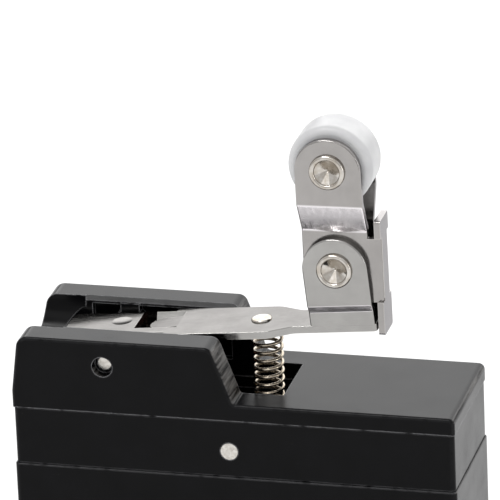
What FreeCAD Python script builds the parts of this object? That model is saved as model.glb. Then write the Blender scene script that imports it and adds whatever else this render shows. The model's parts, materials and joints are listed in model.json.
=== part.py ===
import FreeCAD, Part
import math
import os

Vector = FreeCAD.Vector

# ---------------------------------------------------------------------------------------
# Enclosed limit switch with a one-way short roller lever.  Millimetres.
# X runs along the body (+X towards the roller and the cable outlet), -Y is the front face,
# +Z is up.  The origin is the middle of the flat base.
# ---------------------------------------------------------------------------------------

# Driving sizes of the body
BODY_LENGTH = 50.0
BODY_DEPTH = 16.0
WALL = 1.8
COVER_HEIGHT = 11.0
GASKET_THICKNESS = 0.6
TERMINAL_CASE_TOP = 28.0          # lower seam
MECHANISM_HEIGHT = 6.75           # band between the two seams
HEAD_DECK_HEIGHT = 1.95           # upper seam up to the flat deck
SHOULDER_HEIGHT = 6.55            # deck up to the top of the two shoulders
CORNER_RADIUS = 0.5
GASKET_INSET = 0.15
HEAD_EDGE_RADIUS = 0.32
SEAM_EDGE_RADIUS = 0.15
LOWER_CASE_STEP = 0.1             # the lower case stands proud of nominal, the head by half
HEAD_STEP = 0.05
BAND_STEP = -0.05

# Head: two shoulders with the lever's channel between them
SHOULDER_LENGTH = 25.3            # left end to the foot of the shoulder's slope
SHOULDER_SLOPE = 19.8             # degrees from vertical
SHOULDER_TOP_RADIUS = 1.1
SHOULDER_END_RADIUS = 1.4
SHOULDER_FOOT_RADIUS = 0.4
LEFT_BREAK_RADIUS = 1.0           # where the left end's draft begins
DECK_END_RADIUS = 0.7
END_DRAFT = 7.6                   # degrees, left end of the shoulders
FRONT_SHOULDER_WALL = 3.55
REAR_SHOULDER_WALL = 3.6
CHANNEL_END_WALL = 2.9
CHANNEL_CORNER_RADIUS = 2.4       # the two left corners of the channel, in plan
CHANNEL_PAST_SPRING = 2.85        # return spring's axis to the channel's right wall
CHANNEL_DEPTH = 1.35              # channel floor below the upper seam
SCOOP_RADIUS = 4.7
SCOOP_ABOVE_SHOULDER = 0.15
REAR_RIM_CHAMFER = 0.45           # inner top edge of the rear shoulder
RELIEF_DEPTH = 0.8
RELIEF_RIM = 0.75
RELIEF_SPAN = (-4.4, 11.5)        # from the lever's pivot
PIN_BOSS_RADIUS = 1.9
PIN_BOSS_REACH = 0.3              # out of the channel's walls
PIN_RIB_HALF_WIDTH = 1.1

# Mounting holes, right through from front to rear
MOUNT_SPACING = 25.4
MOUNT_HOLE_RADIUS = 2.15
MOUNT_HOLE_Z = 19.0
MOUNT_BOSS_RADIUS = 3.4
CASE_POST_RADIUS = 2.2

# Lever
PIVOT_FROM_END = 10.5             # body's left end to the lever's pivot
LEVER_FRONT_GAP = 1.15            # channel walls to the lever
LEVER_REAR_GAP = 0.4
PIVOT_ABOVE_DECK = 3.55
PIVOT_PIN_RADIUS = 0.75
PIN_COUNTERBORE_RADIUS = 1.15
PIN_RECESS = 1.2
LEVER_TILT = 5.39                 # degrees, roller end up at rest
LEVER_SHEET = 0.85
STAMPED_EDGE = 0.2                # rolled edge of the stamped sheet, on its outer skin
LEVER_TOP = 1.79                  # upper face above the pivot axis
LEVER_TAIL = 6.3                  # pivot to the lever's left end
LEVER_TAIL_RADIUS = 2.4
LEVER_TAPER = (17.8, 20.5)        # the plate narrows between these distances
TAPER_OUTER_RADIUS = 2.0
TAPER_INNER_RADIUS = 1.5
LEVER_END_RADIUS = 0.4
NECK_STEP = 0.35                  # the neck is narrower than the ears, each side
NECK_INSIDE_BEND = 0.1            # fold of the ears, on the inner face
EAR_JOGGLE = (3.3, 4.2)           # the ears spread between these heights
EAR_HALF_LENGTH = 3.65
FLANGE_END = 6.8                  # the side flanges stop here
FLANGE_BEND = 0.9
WINDOW = (2.1, 3.55)              # cross window in front of the tongue
WINDOW_Y = (-1.65, 3.1)           # from the lever's middle plane
TONGUE_Y = (-1.4, 1.5)
TONGUE_ROOT = 7.0
TONGUE_ANGLE = 5.0
TONGUE_SLOT = 0.25
OPENING_ROLLOVER = 0.65           # width of the sloped far wall of the opening
PIVOT_DIMPLE = (0.15, 0.6)        # pressed mark over the pivot, along and across
PIVOT_DIMPLE_RADIUS = 1.15
PIVOT_DIMPLE_DEPTH = 0.12

# Roller arm, folded about the clevis rivet
ARM_PIVOT = (26.2, 8.36)          # along and above the lever, from its pivot
ARM_TILT = 1.0                    # degrees, top towards the left
ARM_SHEET = 0.7
ARM_HALF_LENGTH = 3.7
ARM_INNER_WIDTH = 3.7
ARM_JOGGLE = (4.3, 7.85)          # the plates spread between these heights
ARM_BEND = 0.9
ROLLER_ABOVE_ARM_PIVOT = 11.88
WEB_OUTER_FACE = 5.15
WEB_SPAN = (-7.8, 5.6)
WEB_STOP_GAP = 0.07               # web to the end of the lever, which stops it
WEB_ROOT = (-3.9, 3.55)
WEB_INSIDE_BEND = 0.4
WEB_CORNER = 0.3

# Rivets, roller and springs
RIVET_RADIUS = 1.2
RIVET_HEAD_RADIUS = 2.0
RIVET_HEAD_THICKNESS = 0.35
RIVET_RIM_HEIGHT = 0.12           # rolled rim above the head
RIVET_CONE_RADIUS = 1.4
RIVET_CONE_DEPTH = 1.1
ROLLER_DIAMETER = 9.5
ROLLER_WIDTH = 5.0
ROLLER_HUB_STEP = 0.3             # hub past the tyre, each side
ROLLER_HUB_RADIUS = 2.6
ROLLER_EDGE_RADIUS = 0.8
RETURN_SPRING_DIAMETER = 3.55
RETURN_WIRE = 0.42
RETURN_TURNS = 10
RETURN_SPRING_ALONG = 16.75       # from the pivot, level
SPRING_SEAT_DEPTH = 1.0
SPRING_RIVET_ALONG = 16.4
SPRING_RIVET_RADIUS = 1.15
SPRING_RIVET_HEAD = 0.2
SPRING_STUD_RADIUS = 0.85
SPRING_STUD_LENGTH = 1.0
TORSION_COIL_RADIUS = 1.75
TORSION_WIRE = 0.4
TORSION_PITCH_GAP = 0.06          # least gap between turns

# Plunger and snap mechanism
PLUNGER_RADIUS = 1.45
PLUNGER_ALONG = 4.7               # contact point on the tongue, from the pivot
PLUNGER_PLAY = 0.06
GUIDE_OUTER_RADIUS = 2.5
GUIDE_FLANGE_RADIUS = 3.3
GUIDE_HEIGHT = 4.0                # above the channel floor
GUIDE_FLANGE = 0.8
SEAL_THICKNESS = 0.8
CAVITY_HEIGHT = 2.0               # into the mechanism case from the lower seam
BASE_THICKNESS = 1.2
BLADE_THICKNESS = 0.3
BLADE_WIDTH = 5.0
BLADE_TIP = 0.6                   # past the moving contact
BLADE_TIP_RADIUS = 1.5
BLADE_SLOT = (0.8, 1.5)
BLADE_PIVOT_INSET = 2.8           # from the case's left inner wall
BLADE_PLAY = 0.05                 # plunger to blade, and blade to its shelf
CONTACT_X = 2.5
CONTACT_GAP = 1.95
CONTACT_RADIUS = 1.4
CONTACT_HEIGHT = 0.6
MOVING_CONTACT_HEIGHT = 1.0
CONTACT_SHANK_RADIUS = 0.7
STRIP = 0.5                       # contact strips are thinner than the terminal tabs

# Terminals and their screws
TERMINAL_WALL_GAP = 0.4
RISER_INSET = 0.5                 # riser from the end of its tab
TERMINAL_SHEET = 0.8
TERMINAL_WIDTH = 6.0
TERMINAL_TAB_Z = 17.0
TERMINAL_SCREW_RADIUS = 1.45
TERMINAL_SCREW_LENGTH = 6.5       # over the head
TERMINAL_HEAD_RADIUS = 2.6
TERMINAL_HEAD_HEIGHT = 1.9
WASHER_RADIUS = 3.0
WASHER_THICKNESS = 0.7

# Cover screws, case pin and cable outlet
COVER_SCREW_RADIUS = 1.5
COVER_SCREW_GRIP = 3.4
COVER_HEAD_RADIUS = 2.7
COVER_HEAD_HEIGHT = 1.8
CROSS_REACH = 1.6
CROSS_WIDTH = 0.65
CROSS_DEPTH = 1.0
SCREW_HEAD_EDGE = 0.3
COVER_POST_RADIUS = 2.2
COVER_FOOT_RADIUS = 3.3           # round the screw head
COVER_FOOT_HEIGHT = 2.6
SCREW_SINK = 0.2                  # head face above the base
CASE_PIN_X = -0.43
CASE_PIN_ABOVE_SEAM = 3.07
CASE_PIN_RADIUS = 0.97
CABLE_RADIUS = 2.5
GROMMET_RADIUS = 3.5
GROMMET_FLANGE_RADIUS = 4.4
GROMMET_FLANGE = 1.0
GROMMET_BARB_RADIUS = 4.0
GROMMET_EDGE = 0.5

# Clearances
RUNNING_CLEARANCE = 0.05
SEATED_CLEARANCE = 0.03
LOOSE_CLEARANCE = 0.1
OVERSHOOT = 1.0                   # cutting tools run past the faces they cut
NEARLY_HALF = 0.01                # a round end keeps this much straight
SAME_PLACE = 1e-5

# Levels that follow from the driving sizes
CASE_BOTTOM = COVER_HEIGHT + GASKET_THICKNESS
UPPER_SEAM = TERMINAL_CASE_TOP + MECHANISM_HEIGHT
DECK = UPPER_SEAM + HEAD_DECK_HEIGHT
SHOULDER_TOP = DECK + SHOULDER_HEIGHT
HEAD_HALF_LENGTH = BODY_LENGTH / 2 + HEAD_STEP
HEAD_HALF_DEPTH = BODY_DEPTH / 2 + HEAD_STEP
CHANNEL_FLOOR = UPPER_SEAM - CHANNEL_DEPTH
SPRING_SEAT = CHANNEL_FLOOR - SPRING_SEAT_DEPTH
CHANNEL_LEFT_END = -BODY_LENGTH / 2 + CHANNEL_END_WALL
CHANNEL_FRONT = -HEAD_HALF_DEPTH + FRONT_SHOULDER_WALL
CHANNEL_REAR = HEAD_HALF_DEPTH - REAR_SHOULDER_WALL
PIVOT_X = -BODY_LENGTH / 2 + PIVOT_FROM_END
PIVOT_Z = DECK + PIVOT_ABOVE_DECK
PIN_Y = HEAD_HALF_DEPTH - PIN_RECESS
RETURN_SPRING_X = PIVOT_X + RETURN_SPRING_ALONG
CHANNEL_RIGHT_END = RETURN_SPRING_X + CHANNEL_PAST_SPRING
LEVER_WIDTH = CHANNEL_REAR - CHANNEL_FRONT - LEVER_FRONT_GAP - LEVER_REAR_GAP
LEVER_Y = CHANNEL_REAR - LEVER_REAR_GAP - LEVER_WIDTH / 2
CLEVIS_WIDTH = ARM_INNER_WIDTH + 2 * (LEVER_SHEET + RUNNING_CLEARANCE)
NECK_WIDTH = CLEVIS_WIDTH - 2 * NECK_STEP
ROLLER_HUB_WIDTH = ROLLER_WIDTH + 2 * ROLLER_HUB_STEP
ARM_OUTER_WIDTH = ROLLER_HUB_WIDTH + 2 * (ARM_SHEET + LOOSE_CLEARANCE)
ARM_LEAN = math.radians(LEVER_TILT - ARM_TILT)     # arm's lean to the right of the lever's upright
LEVER_END = (ARM_PIVOT[0] + (WEB_OUTER_FACE - ARM_SHEET) * math.cos(ARM_LEAN)
             - (ARM_PIVOT[1] - LEVER_TOP + LEVER_SHEET) * math.sin(ARM_LEAN) - WEB_STOP_GAP)
MOUNT_X = MOUNT_SPACING / 2
CASE_INNER_X = BODY_LENGTH / 2 + LOWER_CASE_STEP - WALL
CASE_INNER_Y = BODY_DEPTH / 2 + LOWER_CASE_STEP - WALL
CASE_OUTER_Y = BODY_DEPTH / 2 + LOWER_CASE_STEP
OUTLET_Z = WALL + GROMMET_BARB_RADIUS
BASE_BOTTOM = MOUNT_HOLE_Z + MOUNT_BOSS_RADIUS
BASE_TOP = BASE_BOTTOM + BASE_THICKNESS
TAB_OUTER = CASE_INNER_X - TERMINAL_WALL_GAP
TAB_INNER = MOUNT_X + MOUNT_BOSS_RADIUS + TERMINAL_WALL_GAP
TERMINAL_X = (-(TAB_OUTER + TAB_INNER) / 2, 0.0, (TAB_OUTER + TAB_INNER) / 2)
BLADE_PIVOT_X = -CASE_INNER_X + BLADE_PIVOT_INSET
LOW_CONTACT_TOP = BASE_TOP + STRIP + CONTACT_HEIGHT
BLADE_BOTTOM = LOW_CONTACT_TOP + CONTACT_GAP + (MOVING_CONTACT_HEIGHT - BLADE_THICKNESS) / 2
BLADE_TOP = BLADE_BOTTOM + BLADE_THICKNESS
HIGH_CONTACT_BOTTOM = BLADE_TOP + (MOVING_CONTACT_HEIGHT - BLADE_THICKNESS) / 2 + SEATED_CLEARANCE


# ---------------------------------------------------------------------------------------
# Small shape helpers
# ---------------------------------------------------------------------------------------
def on_xy(a, b, level):
    return Vector(a, b, level)


def on_xz(a, b, level):
    return Vector(a, level, b)


def on_yz(a, b, level):
    return Vector(level, a, b)


def rounded_wire(corners, plane, level):
    """Closed outline through (a, b, radius) corners, each rounded by its own radius."""
    spans = []
    for index, (a, b, radius) in enumerate(corners):
        here = Vector(a, b, 0)
        before = Vector(corners[index - 1][0], corners[index - 1][1], 0)
        following = corners[(index + 1) % len(corners)]
        after = Vector(following[0], following[1], 0)
        if radius == 0:
            spans.append((here, None, here))
            continue
        back = (before - here).normalize()
        ahead = (after - here).normalize()
        half_angle = back.getAngle(ahead) / 2
        run = radius / math.tan(half_angle)
        inward = (back + ahead).normalize()
        middle = here + inward * (radius / math.sin(half_angle) - radius)
        spans.append((here + back * run, middle, here + ahead * run))
    edges = []
    for index, (start, middle, end) in enumerate(spans):
        start_point = plane(start.x, start.y, level)
        end_point = plane(end.x, end.y, level)
        if middle is not None:
            middle_point = plane(middle.x, middle.y, level)
            edges.append(Part.Arc(start_point, middle_point, end_point).toShape())
        following = spans[(index + 1) % len(spans)][0]
        if end.distanceToPoint(following) > SAME_PLACE:
            next_point = plane(following.x, following.y, level)
            edges.append(Part.LineSegment(end_point, next_point).toShape())
    return Part.Wire(edges)


def prism(corners, plane, low, high):
    """Solid of a rounded outline, from low to high across its plane."""
    face = Part.Face(rounded_wire(corners, plane, low))
    return face.extrude(plane(0, 0, high - low) - plane(0, 0, 0))


def box(x0, x1, y0, y1, z0, z1):
    return Part.makeBox(x1 - x0, y1 - y0, z1 - z0, Vector(x0, y0, z0))


def rounded_block(half_x, half_y, z0, z1, radius):
    corners = [(-half_x, -half_y, radius), (half_x, -half_y, radius),
               (half_x, half_y, radius), (-half_x, half_y, radius)]
    return prism(corners, on_xy, z0, z1)


def rod_x(y, z, radius, x0, x1):
    return Part.makeCylinder(radius, x1 - x0, Vector(x0, y, z), Vector(1, 0, 0))


def rod_y(x, z, radius, y0, y1):
    return Part.makeCylinder(radius, y1 - y0, Vector(x, y0, z), Vector(0, 1, 0))


def rod_z(x, y, radius, z0, z1):
    return Part.makeCylinder(radius, z1 - z0, Vector(x, y, z0), Vector(0, 0, 1))


def flat_edges(shape, axis, level):
    """Edges of a shape that lie in one plane across an axis ("X", "Y" or "Z")."""
    found = []
    for edge in shape.Edges:
        low = getattr(edge.BoundBox, axis + "Min")
        span = getattr(edge.BoundBox, axis + "Length")
        if abs(low - level) < SAME_PLACE and span < SAME_PLACE:
            found.append(edge)
    return found


def eased_block(half_x, half_y, z0, z1):
    """Moulded block with round upright corners and slightly eased seams."""
    block = rounded_block(half_x, half_y, z0, z1, CORNER_RADIUS)
    seams = flat_edges(block, "Z", z0) + flat_edges(block, "Z", z1)
    return block.makeFillet(SEAM_EDGE_RADIUS, seams)


def join(shapes):
    return shapes[0].multiFuse(shapes[1:]).removeSplitter()


def lever_placed(shape):
    """From the lever's own axes (pivot at the origin, plate level) to the switch."""
    shape.rotate(Vector(0, 0, 0), Vector(0, 1, 0), -LEVER_TILT)
    shape.translate(Vector(PIVOT_X, LEVER_Y, PIVOT_Z))
    return shape


def lever_point(along, above):
    """A point of the lever's middle plane, in the switch's axes."""
    tilt = math.radians(LEVER_TILT)
    x = PIVOT_X + along * math.cos(tilt) - above * math.sin(tilt)
    z = PIVOT_Z + along * math.sin(tilt) + above * math.cos(tilt)
    return x, z


def arm_placed(shape):
    """From the arm's own axes (clevis rivet at the origin, arm upright) to the switch."""
    x, z = lever_point(*ARM_PIVOT)
    shape.rotate(Vector(0, 0, 0), Vector(0, 1, 0), -ARM_TILT)
    shape.translate(Vector(x, LEVER_Y, z))
    return shape


def coil(radius, wire_radius, pitch, height):
    """Round wire wound about Z, from z = 0."""
    path = Part.Wire(Part.makeHelix(pitch, height, radius))
    section = Part.Wire(Part.makeCircle(wire_radius, Vector(radius, 0, 0), Vector(0, 1, 0)))
    return Part.Solid(path.makePipeShell([section], True, True))


def tubular_rivet(half_grip):
    """Rivet along Y with a rolled rim and a conical mouth at each end."""
    head = half_grip + RIVET_HEAD_THICKNESS
    rim = head + RIVET_RIM_HEIGHT
    rim_radius = (RIVET_CONE_RADIUS + RIVET_HEAD_RADIUS) / 2
    edges = [Part.LineSegment(Vector(RIVET_RADIUS, -half_grip, 0), Vector(RIVET_RADIUS, half_grip, 0))]
    for side in (-1, 1):
        shank = Vector(RIVET_RADIUS, side * half_grip, 0)
        under = Vector(RIVET_HEAD_RADIUS, side * half_grip, 0)
        outer = Vector(RIVET_HEAD_RADIUS, side * (head - RIVET_HEAD_THICKNESS / 2), 0)
        crest = Vector(rim_radius, side * rim, 0)
        mouth = Vector(RIVET_CONE_RADIUS, side * (head - RIVET_RIM_HEIGHT), 0)
        point = Vector(0, side * (head - RIVET_CONE_DEPTH), 0)
        edges += [Part.LineSegment(shank, under), Part.LineSegment(under, outer),
                  Part.Arc(outer, crest, mouth), Part.LineSegment(mouth, point)]
    inner = head - RIVET_CONE_DEPTH
    edges.append(Part.LineSegment(Vector(0, -inner, 0), Vector(0, inner, 0)))
    outline = Part.Wire(Part.sortEdges([edge.toShape() for edge in edges])[0])
    return Part.Face(outline).revolve(Vector(0, 0, 0), Vector(0, 1, 0), 360)


# ---------------------------------------------------------------------------------------
# Body
# ---------------------------------------------------------------------------------------
def head_side_outline():
    left = -HEAD_HALF_LENGTH
    draft = SHOULDER_HEIGHT * math.tan(math.radians(END_DRAFT))
    foot = left + SHOULDER_LENGTH
    slope = SHOULDER_HEIGHT * math.tan(math.radians(SHOULDER_SLOPE))
    right = HEAD_HALF_LENGTH
    return [(left, UPPER_SEAM, 0), (right, UPPER_SEAM, 0), (right, DECK, DECK_END_RADIUS),
            (foot, DECK, SHOULDER_FOOT_RADIUS), (foot - slope, SHOULDER_TOP, SHOULDER_TOP_RADIUS),
            (left + draft, SHOULDER_TOP, SHOULDER_END_RADIUS), (left, DECK, LEFT_BREAK_RADIUS)]


def lever_channel(bottom, top):
    """Space between the two shoulders, with round corners at its left end."""
    corners = [(CHANNEL_LEFT_END, CHANNEL_FRONT, CHANNEL_CORNER_RADIUS),
               (CHANNEL_RIGHT_END, CHANNEL_FRONT, 0),
               (CHANNEL_RIGHT_END, CHANNEL_REAR, 0),
               (CHANNEL_LEFT_END, CHANNEL_REAR, CHANNEL_CORNER_RADIUS)]
    return prism(corners, on_xy, bottom, top)


def pivot_boss(wall, outward):
    """Boss and rib round the pin hole on one wall of the channel; outward is into the channel."""
    tip = wall + outward * PIN_BOSS_REACH
    low, high = sorted((tip, wall - outward * RELIEF_DEPTH * 1.5))
    boss = rod_y(PIVOT_X, PIVOT_Z, PIN_BOSS_RADIUS, low, high)
    rib = box(PIVOT_X - PIN_RIB_HALF_WIDTH, PIVOT_X + PIN_RIB_HALF_WIDTH, low, high,
              PIVOT_Z, SHOULDER_TOP - REAR_RIM_CHAMFER)
    return boss.fuse(rib)


def head_housing():
    head = prism(head_side_outline(), on_xz, -HEAD_HALF_DEPTH, HEAD_HALF_DEPTH)
    outlines = flat_edges(head, "Y", -HEAD_HALF_DEPTH) + flat_edges(head, "Y", HEAD_HALF_DEPTH)
    head = head.makeFillet(HEAD_EDGE_RADIUS, [edge for edge in outlines
                                              if edge.BoundBox.ZMax > UPPER_SEAM + SAME_PLACE])
    middle = (CHANNEL_FRONT + CHANNEL_REAR) / 2
    scoop = rod_x(middle, SHOULDER_TOP + SCOOP_ABOVE_SHOULDER, SCOOP_RADIUS,
                  -HEAD_HALF_LENGTH - OVERSHOOT, CHANNEL_LEFT_END + CHANNEL_CORNER_RADIUS)
    relief = box(PIVOT_X + RELIEF_SPAN[0], PIVOT_X + RELIEF_SPAN[1], CHANNEL_REAR - OVERSHOOT,
                 CHANNEL_REAR + RELIEF_DEPTH, DECK, SHOULDER_TOP - RELIEF_RIM)
    rim = prism([(CHANNEL_REAR - OVERSHOOT, SHOULDER_TOP + OVERSHOOT, 0),
                 (CHANNEL_REAR - OVERSHOOT, SHOULDER_TOP - REAR_RIM_CHAMFER - OVERSHOOT, 0),
                 (CHANNEL_REAR + REAR_RIM_CHAMFER + OVERSHOOT, SHOULDER_TOP + OVERSHOOT, 0)],
                on_yz, CHANNEL_LEFT_END + CHANNEL_CORNER_RADIUS, HEAD_HALF_LENGTH)
    for tool in (lever_channel(UPPER_SEAM - OVERSHOOT, SHOULDER_TOP + OVERSHOOT), scoop, relief, rim):
        head = head.cut(tool)
    head = join([head, pivot_boss(CHANNEL_FRONT, 1), pivot_boss(CHANNEL_REAR, -1)])
    head = head.cut(rod_y(PIVOT_X, PIVOT_Z, PIVOT_PIN_RADIUS + SEATED_CLEARANCE, -BODY_DEPTH, BODY_DEPTH))
    for outer, inner in ((-BODY_DEPTH, -PIN_Y), (PIN_Y, BODY_DEPTH)):
        head = head.cut(rod_y(PIVOT_X, PIVOT_Z, PIN_COUNTERBORE_RADIUS, outer, inner))
    return head


def case_interior(bottom, top):
    return box(-CASE_INNER_X, CASE_INNER_X, -CASE_INNER_Y, CASE_INNER_Y, bottom, top)


def mechanism_case():
    case = eased_block(BODY_LENGTH / 2 + BAND_STEP, BODY_DEPTH / 2 + BAND_STEP,
                       TERMINAL_CASE_TOP, UPPER_SEAM)
    cavity = case_interior(TERMINAL_CASE_TOP, TERMINAL_CASE_TOP + CAVITY_HEIGHT)
    seat = rod_z(RETURN_SPRING_X, LEVER_Y, RETURN_SPRING_DIAMETER / 2 + LOOSE_CLEARANCE,
                 SPRING_SEAT, UPPER_SEAM)
    guide_hole = rod_z(plunger_x(), LEVER_Y, GUIDE_OUTER_RADIUS + SEATED_CLEARANCE,
                       TERMINAL_CASE_TOP, UPPER_SEAM)
    pin_hole = rod_y(CASE_PIN_X, TERMINAL_CASE_TOP + CASE_PIN_ABOVE_SEAM,
                     CASE_PIN_RADIUS + SEATED_CLEARANCE, -BODY_DEPTH, BODY_DEPTH)
    for tool in (cavity, lever_channel(CHANNEL_FLOOR, UPPER_SEAM), seat, guide_hole, pin_hole):
        case = case.cut(tool)
    return case


def terminal_case():
    """Middle case: a tube for each mounting screw, over a post for each cover screw."""
    case = eased_block(BODY_LENGTH / 2 + LOWER_CASE_STEP, CASE_OUTER_Y, CASE_BOTTOM, TERMINAL_CASE_TOP)
    case = case.cut(case_interior(CASE_BOTTOM - OVERSHOOT, TERMINAL_CASE_TOP + OVERSHOOT))
    inside_wall = CASE_INNER_Y + WALL / 2
    pieces = [case]
    for side in (-1, 1):
        pieces.append(rod_y(side * MOUNT_X, MOUNT_HOLE_Z, MOUNT_BOSS_RADIUS, -inside_wall, inside_wall))
        pieces.append(rod_z(side * MOUNT_X, 0, CASE_POST_RADIUS, CASE_BOTTOM, MOUNT_HOLE_Z))
    case = join(pieces)
    for side in (-1, 1):
        case = case.cut(rod_y(side * MOUNT_X, MOUNT_HOLE_Z, MOUNT_HOLE_RADIUS, -BODY_DEPTH, BODY_DEPTH))
        case = case.cut(rod_z(side * MOUNT_X, 0, COVER_SCREW_RADIUS + SEATED_CLEARANCE,
                              CASE_BOTTOM - OVERSHOOT, CASE_BOTTOM + COVER_SCREW_GRIP + LOOSE_CLEARANCE))
    return case


def gasket():
    outer = rounded_block(BODY_LENGTH / 2 - GASKET_INSET, BODY_DEPTH / 2 - GASKET_INSET,
                          COVER_HEIGHT, CASE_BOTTOM, CORNER_RADIUS)
    return outer.cut(case_interior(COVER_HEIGHT - OVERSHOOT, CASE_BOTTOM + OVERSHOOT))


def terminal_cover():
    cover = eased_block(BODY_LENGTH / 2 + LOWER_CASE_STEP, CASE_OUTER_Y, 0, COVER_HEIGHT)
    cover = cover.cut(case_interior(WALL, COVER_HEIGHT + OVERSHOOT))
    pieces = [cover]
    for side in (-1, 1):
        pieces.append(rod_z(side * MOUNT_X, 0, COVER_FOOT_RADIUS, 0, COVER_FOOT_HEIGHT))
        pieces.append(rod_z(side * MOUNT_X, 0, COVER_POST_RADIUS, 0, COVER_HEIGHT))
    cover = join(pieces)
    for side in (-1, 1):
        cover = cover.cut(rod_z(side * MOUNT_X, 0, COVER_SCREW_RADIUS + LOOSE_CLEARANCE,
                                -OVERSHOOT, COVER_HEIGHT + OVERSHOOT))
        cover = cover.cut(rod_z(side * MOUNT_X, 0, COVER_HEAD_RADIUS + LOOSE_CLEARANCE,
                                -OVERSHOOT, SCREW_SINK + COVER_HEAD_HEIGHT))
    outlet = rod_x(0, OUTLET_Z, GROMMET_RADIUS + SEATED_CLEARANCE, CASE_INNER_X - OVERSHOOT, BODY_LENGTH)
    return cover.cut(outlet)


def cable_grommet():
    outer_face = BODY_LENGTH / 2 + LOWER_CASE_STEP
    lip = outer_face + GROMMET_FLANGE
    barb = CASE_INNER_X - GROMMET_FLANGE
    grommet = join([rod_x(0, OUTLET_Z, GROMMET_RADIUS, barb, lip),
                    rod_x(0, OUTLET_Z, GROMMET_FLANGE_RADIUS, outer_face, lip),
                    rod_x(0, OUTLET_Z, GROMMET_BARB_RADIUS, barb, CASE_INNER_X)])
    grommet = grommet.makeFillet(GROMMET_EDGE, flat_edges(grommet, "X", lip))
    return grommet.cut(rod_x(0, OUTLET_Z, CABLE_RADIUS, 0, BODY_LENGTH))


def cross_slot(x, face, reach, width):
    """Tool that cuts a cross recess upwards into a screw head whose face is at z = face."""
    half = width / 2
    return join([box(x - reach, x + reach, -half, half, face, face + CROSS_DEPTH),
                 box(x - half, x + half, -reach, reach, face, face + CROSS_DEPTH)])


def cross_head_screw(x, face, head_radius, head_height, shank_radius, shank_top):
    """Screw that points up, with its head's face at z = face."""
    head = rod_z(x, 0, head_radius, face, face + head_height)
    head = head.makeFillet(SCREW_HEAD_EDGE, flat_edges(head, "Z", face))
    shank = rod_z(x, 0, shank_radius, face + head_height / 2, shank_top)
    return join([head, shank]).cut(cross_slot(x, face, CROSS_REACH, CROSS_WIDTH))


def cover_screws():
    top = CASE_BOTTOM + COVER_SCREW_GRIP
    return Part.Compound([cross_head_screw(side * MOUNT_X, SCREW_SINK, COVER_HEAD_RADIUS,
                                           COVER_HEAD_HEIGHT, COVER_SCREW_RADIUS, top)
                          for side in (-1, 1)])


def case_pin():
    return rod_y(CASE_PIN_X, TERMINAL_CASE_TOP + CASE_PIN_ABOVE_SEAM, CASE_PIN_RADIUS,
                 -BODY_DEPTH / 2 - BAND_STEP, BODY_DEPTH / 2 + BAND_STEP)


# ---------------------------------------------------------------------------------------
# Terminals and snap mechanism
# ---------------------------------------------------------------------------------------
def tab(x0, x1, screw_x):
    half = TERMINAL_WIDTH / 2
    plate = box(x0, x1, -half, half, TERMINAL_TAB_Z, TERMINAL_TAB_Z + TERMINAL_SHEET)
    return plate.cut(rod_z(screw_x, 0, TERMINAL_SCREW_RADIUS + SEATED_CLEARANCE,
                           TERMINAL_TAB_Z - OVERSHOOT, TERMINAL_TAB_Z + OVERSHOOT))


def riser(x0, top):
    half = TERMINAL_WIDTH / 2
    return box(x0, x0 + TERMINAL_SHEET, -half, half, TERMINAL_TAB_Z, top)


def strip(x0, x1, bottom):
    half = BLADE_WIDTH / 2
    return box(x0, x1, -half, half, bottom, bottom + STRIP)


COMMON_RISER_X = -TAB_OUTER + RISER_INSET
OPEN_RISER_X = CONTACT_X + RISER_INSET
CLOSED_RISER_X = TAB_OUTER - RISER_INSET - TERMINAL_SHEET
STRIP_LEFT = CONTACT_X - CONTACT_RADIUS - LOOSE_CLEARANCE


def common_terminal():
    shelf = strip(COMMON_RISER_X, BLADE_PIVOT_X + STRIP / 2, BLADE_BOTTOM - BLADE_PLAY - STRIP)
    return join([tab(-TAB_OUTER, -TAB_INNER, TERMINAL_X[0]),
                 riser(COMMON_RISER_X, BLADE_TOP + STRIP), shelf])


def normally_open_terminal():
    right = OPEN_RISER_X + TERMINAL_SHEET
    return join([tab(-right, right, TERMINAL_X[1]), riser(OPEN_RISER_X, BASE_TOP + STRIP),
                 strip(STRIP_LEFT, right, BASE_TOP)])


def normally_closed_terminal():
    bottom = HIGH_CONTACT_BOTTOM + CONTACT_HEIGHT
    return join([tab(TAB_INNER, TAB_OUTER, TERMINAL_X[2]), riser(CLOSED_RISER_X, bottom + STRIP),
                 strip(STRIP_LEFT, CLOSED_RISER_X + TERMINAL_SHEET, bottom)])


def contact_base():
    base = box(-CASE_INNER_X + LOOSE_CLEARANCE, CASE_INNER_X - LOOSE_CLEARANCE,
               -CASE_INNER_Y + LOOSE_CLEARANCE, CASE_INNER_Y - LOOSE_CLEARANCE, BASE_BOTTOM, BASE_TOP)
    slot_half = TERMINAL_WIDTH / 2 + SEATED_CLEARANCE
    for riser_x in (COMMON_RISER_X, OPEN_RISER_X, CLOSED_RISER_X):
        base = base.cut(box(riser_x - SEATED_CLEARANCE, riser_x + TERMINAL_SHEET + SEATED_CLEARANCE,
                            -slot_half, slot_half, BASE_BOTTOM - OVERSHOOT, BASE_TOP + OVERSHOOT))
    return base


def fixed_contact(bottom):
    return rod_z(CONTACT_X, 0, CONTACT_RADIUS, bottom, bottom + CONTACT_HEIGHT)


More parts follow.
